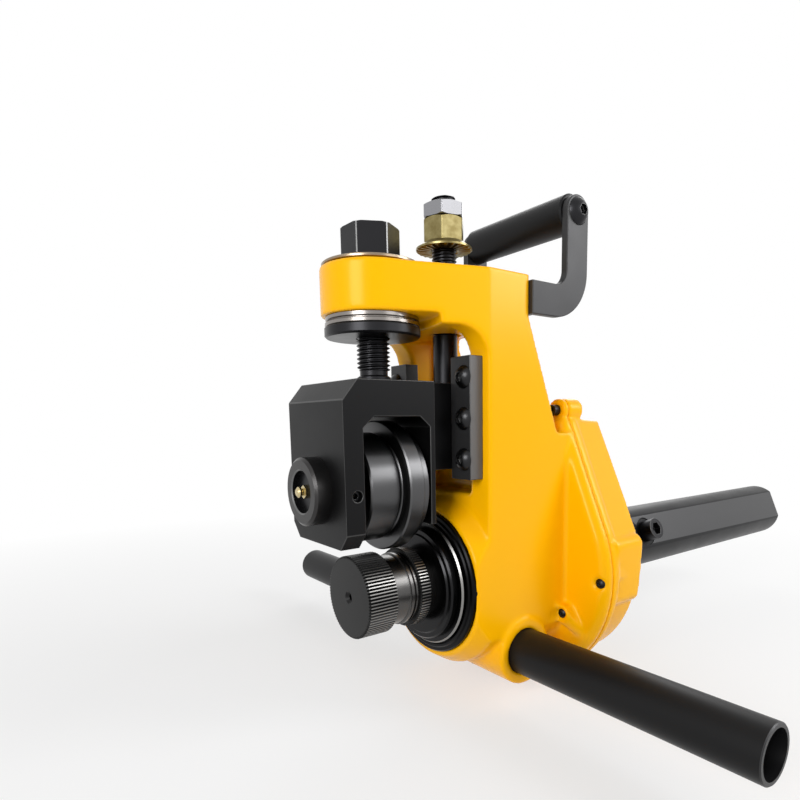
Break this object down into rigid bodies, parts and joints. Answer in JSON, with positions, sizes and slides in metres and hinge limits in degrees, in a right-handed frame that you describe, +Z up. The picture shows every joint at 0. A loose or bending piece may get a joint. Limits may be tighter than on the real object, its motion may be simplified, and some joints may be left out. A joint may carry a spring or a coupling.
{
  "type": "pipe grooving machine",
  "caption": "Roll grooving head: yellow cast C-frame with knurled drive roll, screw-fed upper roll in a sliding housing, geared drive bar, cross tube and carry handle",
  "frame": {"origin": "centre of the drive roll's front face, on the drive axis", "axes": "+Y along the drive axis from the pipe side to the drive bar, +Z up the feed screw, +X to the right seen from the front"},
  "size_m": [0.466, 0.5635, 0.331],
  "materials": {
    "yellow_enamel": "smooth gloss enamel on cast iron",
    "black_steel": "black oxide on machined steel",
    "grey_steel": "dark machined steel",
    "bright_steel": "bright machined or plated steel",
    "zinc_steel": "yellow passivated zinc plating",
    "bronze": "plain bearing bronze",
    "brass": "turned brass"
  },
  "bodies": {
    "frame": {"main_body": "yellow_enamel", "gear_cover": "yellow_enamel", "cover_screws": "black_steel", "front_bush": "bronze", "rear_bush": "bronze", "bearing_retainer": "black_steel", "pinion_front_bush": "bronze", "pinion_rear_bush": "bronze", "guide_plate_left": "grey_steel", "guide_plate_right": "grey_steel", "guide_screws": "black_steel", "top_washer": "bronze", "nut_shim": "bright_steel", "feed_nut": "black_steel", "tube_set_screw": "black_steel", "handle_bracket_left": "grey_steel", "handle_bracket_right": "grey_steel", "bracket_screws": "black_steel", "handle_grip": "black_steel", "handle_bolts": "black_steel"},
    "tube": {"support_tube": "black_steel"},
    "drive": {"drive_roll": "black_steel", "stop_flange": "black_steel", "drive_shaft": "grey_steel", "drive_gear": "grey_steel", "gear_key": "bright_steel", "drive_bar": "grey_steel", "bar_screw": "black_steel"},
    "hand_pinion": {"pinion": "grey_steel", "ratchet_socket": "grey_steel"},
    "slide": {"slide_housing": "black_steel", "roll_axle": "black_steel", "grease_nipple": "brass", "axle_set_screw": "black_steel", "depth_stud": "black_steel", "screw_pin": "bright_steel"},
    "upper_roll": {"groove_roll": "black_steel", "roll_bush": "bronze"},
    "screw": {"feed_screw": "black_steel"},
    "stop_nuts": {"depth_stop_nut": "zinc_steel", "lock_nut": "bright_steel"}
  },
  "joints": [
    {"name": "housing_feed", "type": "slide", "parent": "frame", "child": "slide", "axis": [0, 0, 1], "range_m": [-0.003, 0.022]},
    {"name": "feed_screw_turn", "type": "hinge", "parent": "slide", "child": "screw", "pos_m": [0, 0.0223, 0.2], "axis": [0, 0, 1], "range_deg": [-440, 3180]},
    {"name": "groove_roll_spin", "type": "hinge", "parent": "slide", "child": "upper_roll", "pos_m": [0, 0.0177, 0.067], "axis": [0, 1, 0], "continuous": true},
    {"name": "stop_nut_set", "type": "slide", "parent": "slide", "child": "stop_nuts", "axis": [0, 0, 1], "range_m": [-0.012, 0.002]},
    {"name": "drive_spin", "type": "hinge", "parent": "frame", "child": "drive", "pos_m": [0, 0.2, 0], "axis": [0, 1, 0], "continuous": true},
    {"name": "pinion_spin", "type": "hinge", "parent": "frame", "child": "hand_pinion", "pos_m": [0, 0.167, 0.078], "axis": [0, 1, 0], "continuous": true},
    {"name": "tube_slide", "type": "slide", "parent": "frame", "child": "tube", "axis": [1, 0, 0], "range_m": [-0.06, 0.06]}
  ],
  "couplings": [
    {"joint": "feed_screw_turn", "follows": "housing_feed", "rad_per_m": 2513.3},
    {"joint": "pinion_spin", "follows": "drive_spin", "ratio": -3.3333}
  ]
}
